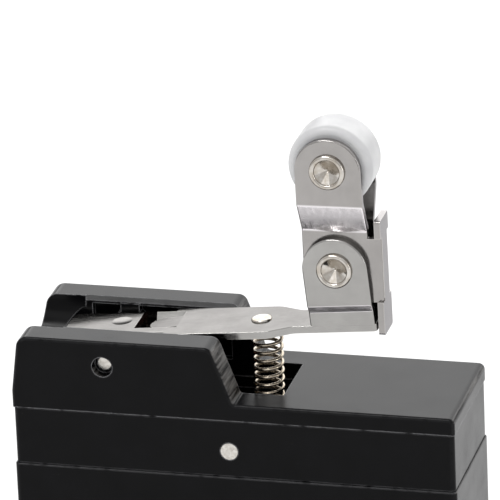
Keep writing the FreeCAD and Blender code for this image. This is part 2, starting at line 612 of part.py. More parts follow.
def snap_blade():
    """Spring blade with two slots and a half-round left edge, which it turns on."""
    half = BLADE_WIDTH / 2
    right = CONTACT_X + CONTACT_RADIUS + BLADE_TIP
    blade = prism([(BLADE_PIVOT_X, -half, 0), (right, -half, BLADE_TIP_RADIUS),
                   (right, half, BLADE_TIP_RADIUS), (BLADE_PIVOT_X, half, 0)],
                  on_xy, BLADE_BOTTOM, BLADE_TOP)
    pivot = rod_y(BLADE_PIVOT_X, (BLADE_BOTTOM + BLADE_TOP) / 2, BLADE_THICKNESS / 2, -half, half)
    blade = join([blade, pivot])
    slot_left = plunger_x() + 2 * PLUNGER_RADIUS
    slot_right = CONTACT_X - 2 * CONTACT_RADIUS
    for side in (-1, 1):
        low, high = sorted((side * BLADE_SLOT[0], side * BLADE_SLOT[1]))
        blade = blade.cut(box(slot_left, slot_right, low, high,
                              BLADE_BOTTOM - OVERSHOOT, BLADE_TOP + OVERSHOOT))
    return blade.cut(rod_z(CONTACT_X, 0, CONTACT_SHANK_RADIUS + SEATED_CLEARANCE,
                           BLADE_BOTTOM - OVERSHOOT, BLADE_TOP + OVERSHOOT))


def moving_contact():
    margin = (MOVING_CONTACT_HEIGHT - BLADE_THICKNESS) / 2
    return join([rod_z(CONTACT_X, 0, CONTACT_RADIUS, BLADE_BOTTOM - margin, BLADE_BOTTOM),
                 rod_z(CONTACT_X, 0, CONTACT_SHANK_RADIUS, BLADE_BOTTOM, BLADE_TOP),
                 rod_z(CONTACT_X, 0, CONTACT_RADIUS, BLADE_TOP, BLADE_TOP + margin)])


def terminal_screws():
    face = TERMINAL_TAB_Z - WASHER_THICKNESS - TERMINAL_HEAD_HEIGHT
    return Part.Compound([cross_head_screw(x, face, TERMINAL_HEAD_RADIUS, TERMINAL_HEAD_HEIGHT,
                                           TERMINAL_SCREW_RADIUS, face + TERMINAL_SCREW_LENGTH)
                          for x in TERMINAL_X])


def clamp_washers():
    bottom = TERMINAL_TAB_Z - WASHER_THICKNESS
    bore = TERMINAL_SCREW_RADIUS + LOOSE_CLEARANCE
    return Part.Compound([rod_z(x, 0, WASHER_RADIUS, bottom, TERMINAL_TAB_Z)
                          .cut(rod_z(x, 0, bore, bottom - OVERSHOOT, TERMINAL_TAB_Z + OVERSHOOT))
                          for x in TERMINAL_X])


def tongue_underside():
    """A point of the tongue's lower face and that face's slope, in the switch's axes."""
    along = PLUNGER_ALONG
    above = LEVER_TOP - LEVER_SHEET - (TONGUE_ROOT - along) * math.tan(math.radians(TONGUE_ANGLE))
    x, z = lever_point(along, above)
    return x, z, math.radians(LEVER_TILT + TONGUE_ANGLE)


def plunger_centre():
    """Centre of the plunger's round top: it bears on the tongue with a small free play."""
    x, z, slope = tongue_underside()
    reach = PLUNGER_RADIUS + PLUNGER_PLAY
    return x + reach * math.sin(slope), z - reach * math.cos(slope)


def plunger_x():
    return plunger_centre()[0]


def plunger():
    x, top = plunger_centre()
    tip = BLADE_TOP + BLADE_PLAY + PLUNGER_RADIUS
    return join([rod_z(x, LEVER_Y, PLUNGER_RADIUS, tip, top),
                 Part.makeSphere(PLUNGER_RADIUS, Vector(x, LEVER_Y, top)),
                 Part.makeSphere(PLUNGER_RADIUS, Vector(x, LEVER_Y, tip))])


def plunger_guide():
    top = CHANNEL_FLOOR + GUIDE_HEIGHT
    sleeve = rod_z(plunger_x(), LEVER_Y, GUIDE_OUTER_RADIUS, TERMINAL_CASE_TOP + CAVITY_HEIGHT, top)
    flange = rod_z(plunger_x(), LEVER_Y, GUIDE_FLANGE_RADIUS, CHANNEL_FLOOR, CHANNEL_FLOOR + GUIDE_FLANGE)
    bore = rod_z(plunger_x(), LEVER_Y, PLUNGER_RADIUS + RUNNING_CLEARANCE,
                 TERMINAL_CASE_TOP, top + OVERSHOOT)
    return join([sleeve, flange]).cut(bore)


def plunger_seal():
    bottom = CHANNEL_FLOOR + GUIDE_HEIGHT
    ring = rod_z(plunger_x(), LEVER_Y, GUIDE_OUTER_RADIUS, bottom, bottom + SEAL_THICKNESS)
    return ring.cut(rod_z(plunger_x(), LEVER_Y, PLUNGER_RADIUS + LOOSE_CLEARANCE,
                          bottom - OVERSHOOT, bottom + SEAL_THICKNESS + OVERSHOOT))


# ---------------------------------------------------------------------------------------
# Lever
# ---------------------------------------------------------------------------------------
def lever_plate():
    wide = LEVER_WIDTH / 2
    neck = NECK_WIDTH / 2
    start, end = LEVER_TAPER
    root = FLANGE_END - OVERSHOOT
    front = [(root, -wide, 0), (start, -wide, TAPER_OUTER_RADIUS), (end, -neck, TAPER_INNER_RADIUS),
             (LEVER_END, -neck, LEVER_END_RADIUS)]
    rear = [(along, -across, radius) for along, across, radius in reversed(front)]
    plate = prism(front + rear, on_xy, LEVER_TOP - LEVER_SHEET, LEVER_TOP)
    return plate.makeFillet(STAMPED_EDGE / 2, flat_edges(plate, "Z", LEVER_TOP))


def lever_flanges():
    """Plate over the pivot with a side flange each way, cut to the flanges' outline."""
    half = LEVER_WIDTH / 2
    inner = half - LEVER_SHEET
    under = LEVER_TOP - LEVER_SHEET
    foot = -LEVER_WIDTH / 2
    section = [(-half, foot, 0), (-inner, foot, 0), (-inner, under, 0), (inner, under, 0),
               (inner, foot, 0), (half, foot, 0), (half, LEVER_TOP, FLANGE_BEND),
               (-half, LEVER_TOP, FLANGE_BEND)]
    channel = prism(section, on_yz, -LEVER_TAIL, FLANGE_END)
    side = [(-LEVER_TAIL, LEVER_TOP, 0.3), (-LEVER_TAIL, 0.1, 0), (-2.9, -0.2, 0.8), (-1.9, -2.1, 1.3),
            (1.9, -2.1, 1.3), (2.9, -0.2, 0.8), (FLANGE_END, 0.8, 0), (FLANGE_END, LEVER_TOP, 0)]
    channel = channel.common(prism(side, on_xz, -LEVER_WIDTH, LEVER_WIDTH))
    plan = [(-LEVER_TAIL, -half, LEVER_TAIL_RADIUS), (FLANGE_END, -half, 0), (FLANGE_END, half, 0),
            (-LEVER_TAIL, half, LEVER_TAIL_RADIUS)]
    return channel.common(prism(plan, on_xy, -LEVER_WIDTH, LEVER_WIDTH))


def lever_clevis():
    """Two ears folded up from the neck, spread a little above the fold."""
    along, above = ARM_PIVOT
    left = along - EAR_HALF_LENGTH
    right = along + EAR_HALF_LENGTH
    top = above + EAR_HALF_LENGTH
    neck = NECK_WIDTH / 2
    half = CLEVIS_WIDTH / 2
    low, high = EAR_JOGGLE
    bend = LEVER_SHEET / 2
    fold = LEVER_SHEET + NECK_INSIDE_BEND
    outside = [(neck, LEVER_TOP - LEVER_SHEET, fold), (neck, low, bend), (half, high, bend),
               (half, top, 0)]
    inside = [(half - LEVER_SHEET, top, 0), (half - LEVER_SHEET, high, bend),
              (neck - LEVER_SHEET, low, bend), (neck - LEVER_SHEET, LEVER_TOP, NECK_INSIDE_BEND)]
    right_side = outside + inside
    left_side = [(-y, z, radius) for y, z, radius in reversed(right_side)]
    clevis = prism(right_side + left_side, on_yz, left, right)
    radius = EAR_HALF_LENGTH - NEARLY_HALF
    side = [(left, 0, 0), (right, 0, 0), (right, top, radius), (left, top, radius)]
    clevis = clevis.common(prism(side, on_xz, -CLEVIS_WIDTH, CLEVIS_WIDTH))
    skins = flat_edges(clevis, "Y", -half) + flat_edges(clevis, "Y", half)
    rims = [edge for edge in skins if edge.BoundBox.ZMax > high + SAME_PLACE]
    return clevis.makeFillet(STAMPED_EDGE, rims)


def lever_tongue():
    """Tongue bent down a little out of the window, with a round tip towards the pivot."""
    low, high = TONGUE_Y
    tip = (high - low) / 2 - NEARLY_HALF
    tongue = prism([(WINDOW[1], low, tip), (TONGUE_ROOT, low, 0), (TONGUE_ROOT, high, 0),
                    (WINDOW[1], high, tip)], on_xy, LEVER_TOP - LEVER_SHEET, LEVER_TOP)
    tongue.rotate(Vector(TONGUE_ROOT, 0, LEVER_TOP), Vector(0, 1, 0), -TONGUE_ANGLE)
    return tongue


def tongue_opening():
    """Tool for the opening round the tongue; its far wall slopes where the shear rolled it over."""
    under = LEVER_TOP - LEVER_SHEET
    low = TONGUE_Y[0] - TONGUE_SLOT
    far_top = WINDOW_Y[1]
    far_under = far_top - OPENING_ROLLOVER
    below = under - LEVER_SHEET
    above = LEVER_TOP + OVERSHOOT
    return prism([(low, below, 0), (far_under, below, 0), (far_under, under, 0), (far_top, LEVER_TOP, 0),
                  (far_top, above, 0), (low, above, 0)], on_yz, WINDOW[1], TONGUE_ROOT)


def pivot_dimple():
    """Shallow spherical tool for the mark pressed over the pivot."""
    ball = (PIVOT_DIMPLE_RADIUS ** 2 + PIVOT_DIMPLE_DEPTH ** 2) / (2 * PIVOT_DIMPLE_DEPTH)
    along, across = PIVOT_DIMPLE
    return Part.makeSphere(ball, Vector(along, across, LEVER_TOP - PIVOT_DIMPLE_DEPTH + ball))


def lever():
    body = join([lever_plate(), lever_flanges(), lever_clevis()])
    low, high = WINDOW_Y
    window = box(WINDOW[0], WINDOW[1] + SAME_PLACE, low, high,
                 LEVER_TOP - 2 * LEVER_SHEET, LEVER_TOP + OVERSHOOT)
    body = body.cut(window).cut(tongue_opening())
    body = join([body, lever_tongue()]).cut(pivot_dimple())
    body = body.cut(rod_y(0, 0, PIVOT_PIN_RADIUS + RUNNING_CLEARANCE, -LEVER_WIDTH, LEVER_WIDTH))
    body = body.cut(rod_y(ARM_PIVOT[0], ARM_PIVOT[1], RIVET_RADIUS + SEATED_CLEARANCE,
                          -CLEVIS_WIDTH, CLEVIS_WIDTH))
    body = body.cut(rod_z(SPRING_RIVET_ALONG, 0, SPRING_STUD_RADIUS + SEATED_CLEARANCE,
                          0, LEVER_TOP + OVERSHOOT))
    return lever_placed(body)


def lever_pivot_pin():
    return rod_y(PIVOT_X, PIVOT_Z, PIVOT_PIN_RADIUS, -PIN_Y, PIN_Y)


def spring_rivet():
    """Small rivet that centres the return spring under the lever."""
    under = LEVER_TOP - LEVER_SHEET
    head = rod_z(SPRING_RIVET_ALONG, 0, SPRING_RIVET_RADIUS, LEVER_TOP, LEVER_TOP + SPRING_RIVET_HEAD)
    head = head.makeFillet(SPRING_RIVET_HEAD * 0.8, flat_edges(head, "Z", LEVER_TOP + SPRING_RIVET_HEAD))
    stud = rod_z(SPRING_RIVET_ALONG, 0, SPRING_STUD_RADIUS, under - SPRING_STUD_LENGTH, LEVER_TOP)
    return lever_placed(join([head, stud]))


def return_spring():
    x, z = lever_point(SPRING_RIVET_ALONG, LEVER_TOP - LEVER_SHEET)
    low_side = (RETURN_SPRING_X - RETURN_SPRING_DIAMETER / 2 - x) * math.tan(math.radians(LEVER_TILT))
    top = z + low_side - LOOSE_CLEARANCE / 2
    height = top - SPRING_SEAT - RETURN_WIRE - LOOSE_CLEARANCE
    radius = (RETURN_SPRING_DIAMETER - RETURN_WIRE) / 2
    spring = coil(radius, RETURN_WIRE / 2, height / RETURN_TURNS, height)
    spring.translate(Vector(RETURN_SPRING_X, LEVER_Y, SPRING_SEAT + RETURN_WIRE / 2 + LOOSE_CLEARANCE / 2))
    return spring


# ---------------------------------------------------------------------------------------
# Roller arm
# ---------------------------------------------------------------------------------------
def arm_side_plate(side):
    """One plate of the fork: close together in the clevis, spread apart at the roller."""
    outer_high = ARM_OUTER_WIDTH / 2
    outer_low = ARM_INNER_WIDTH / 2
    half = ARM_HALF_LENGTH
    bottom = -half
    top = ROLLER_ABOVE_ARM_PIVOT + half
    low, high = ARM_JOGGLE
    inner_low = low + ARM_SHEET / 2
    inner_high = high + ARM_SHEET / 2
    section = [(outer_low, bottom, 0), (outer_low, low, ARM_BEND), (outer_high, high, ARM_BEND),
               (outer_high, top, 0), (outer_high - ARM_SHEET, top, 0),
               (outer_high - ARM_SHEET, inner_high, ARM_BEND), (outer_low - ARM_SHEET, inner_low, ARM_BEND),
               (outer_low - ARM_SHEET, bottom, 0)]
    plate = prism([(side * y, z, radius) for y, z, radius in section], on_yz, -half, half)
    radius = half - NEARLY_HALF
    front = [(-half, bottom, radius), (half, bottom, radius), (half, top, radius), (-half, top, radius)]
    plate = plate.common(prism(front, on_xz, -ARM_OUTER_WIDTH, ARM_OUTER_WIDTH))
    rims = [edge for edge in flat_edges(plate, "Y", side * outer_high)
            if edge.BoundBox.ZLength > SAME_PLACE]
    return plate.makeFillet(STAMPED_EDGE, rims)


def arm_web():
    """Back of the fork, folded from the side plates, with a taller plate as its outer face."""
    half = ARM_INNER_WIDTH / 2
    inner = half - ARM_SHEET
    outer_bend = ARM_SHEET + WEB_INSIDE_BEND
    face = WEB_OUTER_FACE
    section = [(0, -half, 0), (face, -half, outer_bend), (face, half, outer_bend), (0, half, 0),
               (0, inner, 0), (face - ARM_SHEET, inner, WEB_INSIDE_BEND),
               (face - ARM_SHEET, -inner, WEB_INSIDE_BEND), (0, -inner, 0)]
    fold = prism(section, on_xy, *WEB_ROOT)
    low, high = WEB_SPAN
    plate = prism([(-half, low, WEB_CORNER), (half, low, WEB_CORNER), (half, high, WEB_CORNER),
                   (-half, high, WEB_CORNER)], on_yz, face - ARM_SHEET, face)
    between_folds = box(0, face, -half, half, WEB_ROOT[0], WEB_ROOT[1]).cut(
        box(0, face, -inner, inner, WEB_ROOT[0], WEB_ROOT[1]))
    return join([fold, plate.cut(between_folds)])


def roller_arm():
    arm = join([arm_side_plate(-1), arm_side_plate(1), arm_web()])
    arm = arm.cut(rod_y(0, 0, RIVET_RADIUS + RUNNING_CLEARANCE, -ARM_OUTER_WIDTH, ARM_OUTER_WIDTH))
    arm = arm.cut(rod_y(0, ROLLER_ABOVE_ARM_PIVOT, RIVET_RADIUS + SEATED_CLEARANCE,
                        -ARM_OUTER_WIDTH, ARM_OUTER_WIDTH))
    return arm_placed(arm)


def arm_pivot_rivet():
    return arm_placed(tubular_rivet(CLEVIS_WIDTH / 2))


def roller_axle():
    axle = tubular_rivet(ARM_OUTER_WIDTH / 2)
    axle.translate(Vector(0, 0, ROLLER_ABOVE_ARM_PIVOT))
    return arm_placed(axle)


def roller():
    radius = ROLLER_DIAMETER / 2
    half = ROLLER_WIDTH / 2
    tyre = rod_y(0, 0, radius, -half, half)
    tyre = tyre.makeFillet(ROLLER_EDGE_RADIUS, flat_edges(tyre, "Y", -half) + flat_edges(tyre, "Y", half))
    hub = rod_y(0, 0, ROLLER_HUB_RADIUS, -ROLLER_HUB_WIDTH / 2, ROLLER_HUB_WIDTH / 2)
    wheel = join([tyre, hub]).cut(rod_y(0, 0, RIVET_RADIUS + RUNNING_CLEARANCE, -radius, radius))
    wheel.translate(Vector(0, 0, ROLLER_ABOVE_ARM_PIVOT))
    return arm_placed(wheel)


def arm_torsion_spring():
    """Coil round the clevis rivet, between the arm's lower plates, with one leg on the web."""
    height = ARM_INNER_WIDTH - 2 * (ARM_SHEET + SEATED_CLEARANCE) - TORSION_WIRE
    turns = int((height + SAME_PLACE) / (TORSION_WIRE + TORSION_PITCH_GAP))
    wound = coil(TORSION_COIL_RADIUS, TORSION_WIRE / 2, height / turns, height)
    wound.translate(Vector(0, 0, -height / 2))
    leg_start = TORSION_WIRE / 2
    web_leg = Part.makeCylinder(TORSION_WIRE / 2, WEB_OUTER_FACE - ARM_SHEET - 2 * TORSION_WIRE,
                                Vector(leg_start, -TORSION_COIL_RADIUS, height / 2), Vector(1, 0, 0))
    wound = join([wound, web_leg])
    wound.rotate(Vector(0, 0, 0), Vector(1, 0, 0), 90)
    return arm_placed(wound)


NODES = {
    "terminal_cover": terminal_cover,
    "cover_gasket": gasket,
    "cover_screws": cover_screws,
    "cable_grommet": cable_grommet,
    "terminal_case": terminal_case,
    "mechanism_case": mechanism_case,
    "case_pin": case_pin,
    "head_housing": head_housing,
    "contact_base": contact_base,
    "common_terminal": common_terminal,
    "normally_open_terminal": normally_open_terminal,
    "normally_closed_terminal": normally_closed_terminal,
    "normally_open_contact": lambda: fixed_contact(BASE_TOP + STRIP),
    "normally_closed_contact": lambda: fixed_contact(HIGH_CONTACT_BOTTOM),
    "terminal_screws": terminal_screws,
    "clamp_washers": clamp_washers,
    "snap_blade": snap_blade,
    "moving_contact": moving_contact,
    "plunger": plunger,
    "plunger_guide": plunger_guide,
    "plunger_seal": plunger_seal,
    "lever_pivot_pin": lever_pivot_pin,
    "lever": lever,
    "spring_rivet": spring_rivet,
    "return_spring": return_spring,
    "roller_arm": roller_arm,
    "arm_pivot_rivet": arm_pivot_rivet,
    "arm_torsion_spring": arm_torsion_spring,
    "roller": roller,
    "roller_axle": roller_axle,
}

os.makedirs("parts", exist_ok=True)
for name, build in NODES.items():
    shape = build()
    shape.exportStep("parts/" + name + ".step")
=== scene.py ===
import json
import math

import bpy
from mathutils import Matrix, Vector


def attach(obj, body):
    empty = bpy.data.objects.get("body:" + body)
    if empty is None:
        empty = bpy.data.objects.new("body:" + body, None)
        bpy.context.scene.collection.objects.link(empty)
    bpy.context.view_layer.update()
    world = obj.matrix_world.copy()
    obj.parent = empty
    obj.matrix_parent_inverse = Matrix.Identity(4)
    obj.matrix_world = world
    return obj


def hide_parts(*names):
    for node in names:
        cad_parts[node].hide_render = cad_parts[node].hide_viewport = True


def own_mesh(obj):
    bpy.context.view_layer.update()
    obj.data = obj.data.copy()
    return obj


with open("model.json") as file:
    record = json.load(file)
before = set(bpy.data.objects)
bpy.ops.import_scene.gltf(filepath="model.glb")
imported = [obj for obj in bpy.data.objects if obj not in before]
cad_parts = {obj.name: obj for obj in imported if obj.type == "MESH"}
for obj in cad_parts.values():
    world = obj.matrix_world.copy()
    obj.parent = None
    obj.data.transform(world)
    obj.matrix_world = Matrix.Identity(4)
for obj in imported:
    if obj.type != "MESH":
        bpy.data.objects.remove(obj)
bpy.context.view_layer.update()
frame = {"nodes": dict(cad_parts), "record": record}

NODES = frame["nodes"]
MM = 0.001


# ---------------------------------------------------------------------------------------
# Shader building blocks
# ---------------------------------------------------------------------------------------
class Shader:
    """A node material under construction, in object coordinates (metres)."""

    # The Mix node uses the same socket names for numbers and colours, so colours go by place.
    MIX_FIRST, MIX_SECOND, MIX_RESULT = 6, 7, 2
    EDGE_SAMPLES = 4
    EDGE_SHARPNESS = 6.0

    def __init__(self, name):
        self.material = bpy.data.materials.new(name)
        self.material.use_nodes = True
        self.tree = self.material.node_tree
        self.bsdf = self.tree.nodes["Principled BSDF"]
        source = self.tree.nodes.new("ShaderNodeTexCoord")
        self.coordinates = source.outputs["Object"]
        self.facing = source.outputs["Normal"]

    def node(self, kind, **settings):
        made = self.tree.nodes.new(kind)
        for key, value in settings.items():
            setattr(made, key, value)
        return made

    def link(self, source, target):
        self.tree.links.new(source, target)

    def fill(self, target, value):
        """Sets an input socket to a constant, or links it to another node's output."""
        if isinstance(value, bpy.types.NodeSocket):
            self.link(value, target)
        else:
            target.default_value = value

    def stretched(self, stretch):
        """The coordinates, scaled by axis. A small scale draws a texture out along its axis."""
        if stretch is None:
            return self.coordinates
        mapping = self.node("ShaderNodeMapping")
        mapping.inputs["Scale"].default_value = stretch
        self.link(self.coordinates, mapping.inputs["Vector"])
        return mapping.outputs["Vector"]

    def noise(self, scale, detail=3.0, roughness=0.5, stretch=None, distortion=0.0):
        texture = self.node("ShaderNodeTexNoise")
        texture.inputs["Scale"].default_value = scale
        texture.inputs["Detail"].default_value = detail
        texture.inputs["Roughness"].default_value = roughness
        texture.inputs["Distortion"].default_value = distortion
        self.link(self.stretched(stretch), texture.inputs["Vector"])
        return texture.outputs["Fac"]

    def cells(self, scale):
        """Distance to the nearest of many scattered points, for specks."""
        texture = self.node("ShaderNodeTexVoronoi", feature="F1")
        texture.inputs["Scale"].default_value = scale
        self.link(self.coordinates, texture.inputs["Vector"])
        return texture.outputs["Distance"]

    def ramp(self, value, low, high, out_low=0.0, out_high=1.0):
        """Linear map of a value, clamped at both ends."""
        mapped = self.node("ShaderNodeMapRange")
        mapped.inputs["From Min"].default_value = low
        mapped.inputs["From Max"].default_value = high
        mapped.inputs["To Min"].default_value = out_low
        mapped.inputs["To Max"].default_value = out_high
        self.link(value, mapped.inputs["Value"])
        return mapped.outputs["Result"]

    def spread(self, texture, out_low, out_high):
        """Maps the middle of a texture's range to two output values."""
        return self.ramp(texture, 0.3, 0.7, out_low, out_high)

    def maths(self, operation, first, second=0.0):
        made = self.node("ShaderNodeMath", operation=operation)
        self.fill(made.inputs[0], first)
        self.fill(made.inputs[1], second)
        return made.outputs[0]

    def mix(self, factor, first, second):
        """Mixes two colours, each an RGB tuple or another mix."""
        made = self.node("ShaderNodeMix", data_type="RGBA")
        self.fill(made.inputs["Factor"], factor)
        for place, colour in ((self.MIX_FIRST, first), (self.MIX_SECOND, second)):
            self.fill(made.inputs[place], (*colour, 1.0) if isinstance(colour, tuple) else colour)
        return made.outputs[self.MIX_RESULT]

    def mottle(self, texture, first, second, low=0.35, high=0.7):
        """Runs from one colour to another as a texture's value rises."""
        return self.mix(self.ramp(texture, low, high), first, second)

    def tint(self, colour, mask, strength, other):
        """Lays another colour over a colour where a mask is 1."""
        return self.mix(self.maths("MULTIPLY", mask, strength), colour, other)

    def edge_mask(self, radius):
        """1 on convex and concave edges within a radius, 0 on flat faces."""
        bevel = self.node("ShaderNodeBevel", samples=self.EDGE_SAMPLES)
        bevel.inputs["Radius"].default_value = radius
        geometry = self.node("ShaderNodeNewGeometry")
        dot = self.node("ShaderNodeVectorMath", operation="DOT_PRODUCT")
        self.link(bevel.outputs["Normal"], dot.inputs[0])
        self.link(geometry.outputs["Normal"], dot.inputs[1])
        away = self.maths("SUBTRACT", 1.0, dot.outputs["Value"])
        return self.ramp(self.maths("MULTIPLY", away, self.EDGE_SHARPNESS), 0.0, 1.0)

    def split(self, vector):
        parts = self.node("ShaderNodeSeparateXYZ")
        self.link(vector, parts.inputs[0])
        return parts.outputs

    def on_slope(self):
        """1 on faces that look up and to the piece's right, 0 on its level and upright faces."""
        parts = self.split(self.facing)
        across = self.ramp(parts["X"], 0.5, 0.8)
        upward = self.ramp(parts["Z"], 0.1, 0.3)
        return self.maths("MULTIPLY", across, upward)

    def on_joggle(self):
        """1 on the outward bends of an upright plate, where they look down and to the side."""
        parts = self.split(self.facing)
        under = self.ramp(self.maths("MULTIPLY", parts["Z"], -1.0), 0.1, 0.3)
        sideways = self.ramp(self.maths("ABSOLUTE", parts["Y"]), 0.35, 0.55)
        return self.maths("MULTIPLY", under, sideways)

    def bump(self, height, strength, distance, normal=None):
        made = self.node("ShaderNodeBump")
        self.fill(made.inputs["Strength"], strength)
        made.inputs["Distance"].default_value = distance
        self.link(height, made.inputs["Height"])
        if normal is not None:
            self.link(normal, made.inputs["Normal"])
        return made.outputs["Normal"]

    def finish(self, colour, roughness, normal=None, **constants):
        """Fills the surface shader. A constant's name is its socket's, with _ for a space."""
        self.fill(self.bsdf.inputs["Base Color"], colour)
        self.fill(self.bsdf.inputs["Roughness"], roughness)
        if normal is not None:
            self.link(normal, self.bsdf.inputs["Normal"])
        for name, value in constants.items():
            self.bsdf.inputs[name.replace("_", " ")].default_value = value
        return self.material


# ---------------------------------------------------------------------------------------
# Materials
# ---------------------------------------------------------------------------------------
def moulded_plastic(name):
    """Black thermoset: satin gloss, faint moulding waves, dust and a patchy painted highlight on
    its edges.
    Its slopes are painted paler along their fall: scuff lines with a painted sheen."""
    black, worn_black = (0.0012, 0.0012, 0.0015), (0.0024, 0.0024, 0.003)
    painted_edge_highlight, dusty, scuffs_and_sheen = (0.27, 0.27, 0.28), (0.2, 0.195, 0.18), (0.13, 0.125, 0.12)
    s = Shader(name)
    cloud = s.noise(260.0, detail=5.0, roughness=0.6)
    flow = s.noise(70.0, detail=2.0, stretch=(1.0, 1.0, 4.0), distortion=0.6)
    drawn = s.noise(900.0, detail=4.0, stretch=(0.15, 0.15, 2.2))
    specks = s.ramp(s.cells(1500.0), 0.05, 0.028)
    dust = s.maths("MULTIPLY", specks, s.ramp(s.noise(420.0), 0.6, 0.68))
    highlight_patches = s.ramp(s.noise(900.0, detail=4.0), 0.3, 0.5)
    edge = s.maths("MULTIPLY", s.edge_mask(0.22 * MM), highlight_patches)
    slope = s.on_slope()

    colour = s.mottle(cloud, black, worn_black)
    # Painted highlight: the edges are made paler, in patches.
    colour = s.tint(colour, edge, 0.75, painted_edge_highlight)
    colour = s.tint(colour, dust, 0.3, dusty)
    # Painted sheen and scuffs: faces looking up and to the right are made paler along the drawn
    # lines.
    colour = s.tint(colour, slope, s.ramp(drawn, 0.4, 0.62), scuffs_and_sheen)
    satin = s.ramp(cloud, 0.3, 0.75, 0.17, 0.28)
    rough = s.maths("ADD", satin, s.maths("MULTIPLY", edge, 0.12))
    normal = s.bump(flow, 0.12, 0.25 * MM)
    normal = s.bump(drawn, s.maths("MULTIPLY", slope, 0.9), 0.08 * MM, normal)
    normal = s.bump(s.noise(3200.0, detail=2.0), 0.05, 0.02 * MM, normal)
    return s.finish(colour, rough, normal, IOR=1.2)


def stamped_steel(name, base, grain, grazing):
    """Plated sheet: rolling grain, scratches, slight unevenness, painted highlights on its edges
    and a painted reflection on its joggles.
    The grain is a stretch by axis, and the grazing colour tints glancing reflections."""
    worn = tuple(channel * 0.88 for channel in base)
    painted_edge_glint, scratched = (0.72, 0.70, 0.66), (0.62, 0.60, 0.57)
    painted_joggle_reflection = (0.96, 0.92, 0.94)
    s = Shader(name)
    rolled = s.noise(2600.0, detail=4.0, stretch=grain)
    cloud = s.noise(330.0, detail=4.0, roughness=0.6)
    wave = s.noise(150.0, detail=1.5)
    lines = s.noise(900.0, detail=6.0, roughness=0.7, stretch=(0.25, 1.0, 3.0), distortion=0.4)
    scratch = s.ramp(lines, 0.66, 0.72)

    colour = s.mottle(cloud, base, worn, high=0.68)
    # Painted highlight: the edges are made paler.
    colour = s.tint(colour, s.edge_mask(0.14 * MM), 0.55, painted_edge_glint)
    colour = s.tint(colour, scratch, 0.25, scratched)
    # Painted reflection: bends looking down and sideways are coloured near white.
    colour = s.mix(s.on_joggle(), colour, painted_joggle_reflection)
    polish = s.ramp(rolled, 0.3, 0.72, 0.13, 0.26)
    rough = s.maths("ADD", polish, s.maths("MULTIPLY", scratch, 0.12))
    normal = s.bump(wave, 0.35, 0.06 * MM)
    normal = s.bump(rolled, 0.08, 0.01 * MM, normal)
    return s.finish(colour, rough, normal, Metallic=1.0, Specular_Tint=(*grazing, 1.0))


def plated_rivet(name):
    """Nickel-plated rivets: blotchy and glossy, with painted highlights on their rims."""
    painted_edge_glint, grazing = (0.86, 0.81, 0.75), (0.6, 0.58, 0.55)
    s = Shader(name)
    cloud = s.noise(900.0, detail=5.0, roughness=0.6)
    colour = s.mottle(cloud, (0.60, 0.575, 0.54), (0.42, 0.375, 0.32), low=0.38, high=0.66)
    # Painted highlight: the rims are made paler.
    colour = s.tint(colour, s.edge_mask(0.12 * MM), 0.5, painted_edge_glint)
    return s.finish(colour, s.spread(cloud, 0.08, 0.2), s.bump(s.noise(1400.0), 0.25, 0.02 * MM),
                    Metallic=1.0, Specular_Tint=(*grazing, 1.0))


def mottled(name, scale, colours, gloss, relief, depth, detail=5.0, low=0.35, high=0.7,
            metallic=1.0, edge=None):
    """A plain surface: one cloudy texture drives its colour, its gloss and a slight relief.
    An edge is the radius, strength and colour of a painted highlight on its rims."""
    s = Shader(name)
    cloud = s.noise(scale, detail=detail)
    colour = s.mottle(cloud, *colours, low, high)
    if edge is not None:
        radius, strength, bright = edge
        # Painted highlight: the rims are made paler.
        colour = s.tint(colour, s.edge_mask(radius), strength, bright)
    return s.finish(colour, s.spread(cloud, *gloss), s.bump(cloud, relief, depth),
                    Metallic=metallic)


def brass(name, clean, tarnish):
    return mottled(name, 700.0, (clean, tarnish), (0.16, 0.36), 0.2, 0.015 * MM, high=0.72)


def resin(name, dark, pale):
    return mottled(name, 800.0, (dark, pale), (0.35, 0.55), 0.2, 0.02 * MM, metallic=0.0)


def soft_rubber(name):
    """Dull moulded rubber with a fine grain."""
    s = Shader(name)
    fine = s.noise(2600.0, detail=5.0)
    cloud = s.noise(350.0, detail=4.0)
    colour = s.mottle(cloud, (0.012, 0.012, 0.012), (0.03, 0.029, 0.028))
    return s.finish(colour, s.spread(fine, 0.55, 0.78), s.bump(fine, 0.35, 0.03 * MM))


def white_nylon(name):
    """Translucent roller: soft inside, with turning marks and faint grey rubbing."""
    s = Shader(name)
    cloud = s.noise(420.0, detail=5.0)
    rub = s.ramp(s.noise(1200.0, detail=6.0, stretch=(1.0, 4.0, 1.0)), 0.62, 0.72)
    turned = s.noise(1800.0, stretch=(1.0, 6.0, 1.0))
    colour = s.mottle(cloud, (0.56, 0.56, 0.565), (0.51, 0.51, 0.52))
    colour = s.tint(colour, rub, 0.18, (0.36, 0.35, 0.34))
    return s.finish(colour, s.spread(cloud, 0.28, 0.42), s.bump(turned, 0.12, 0.02 * MM),
                    IOR=1.5, Subsurface_Weight=0.6, Subsurface_Scale=1.2 * MM,
                    Subsurface_Radius=(1.0, 1.0, 0.95))


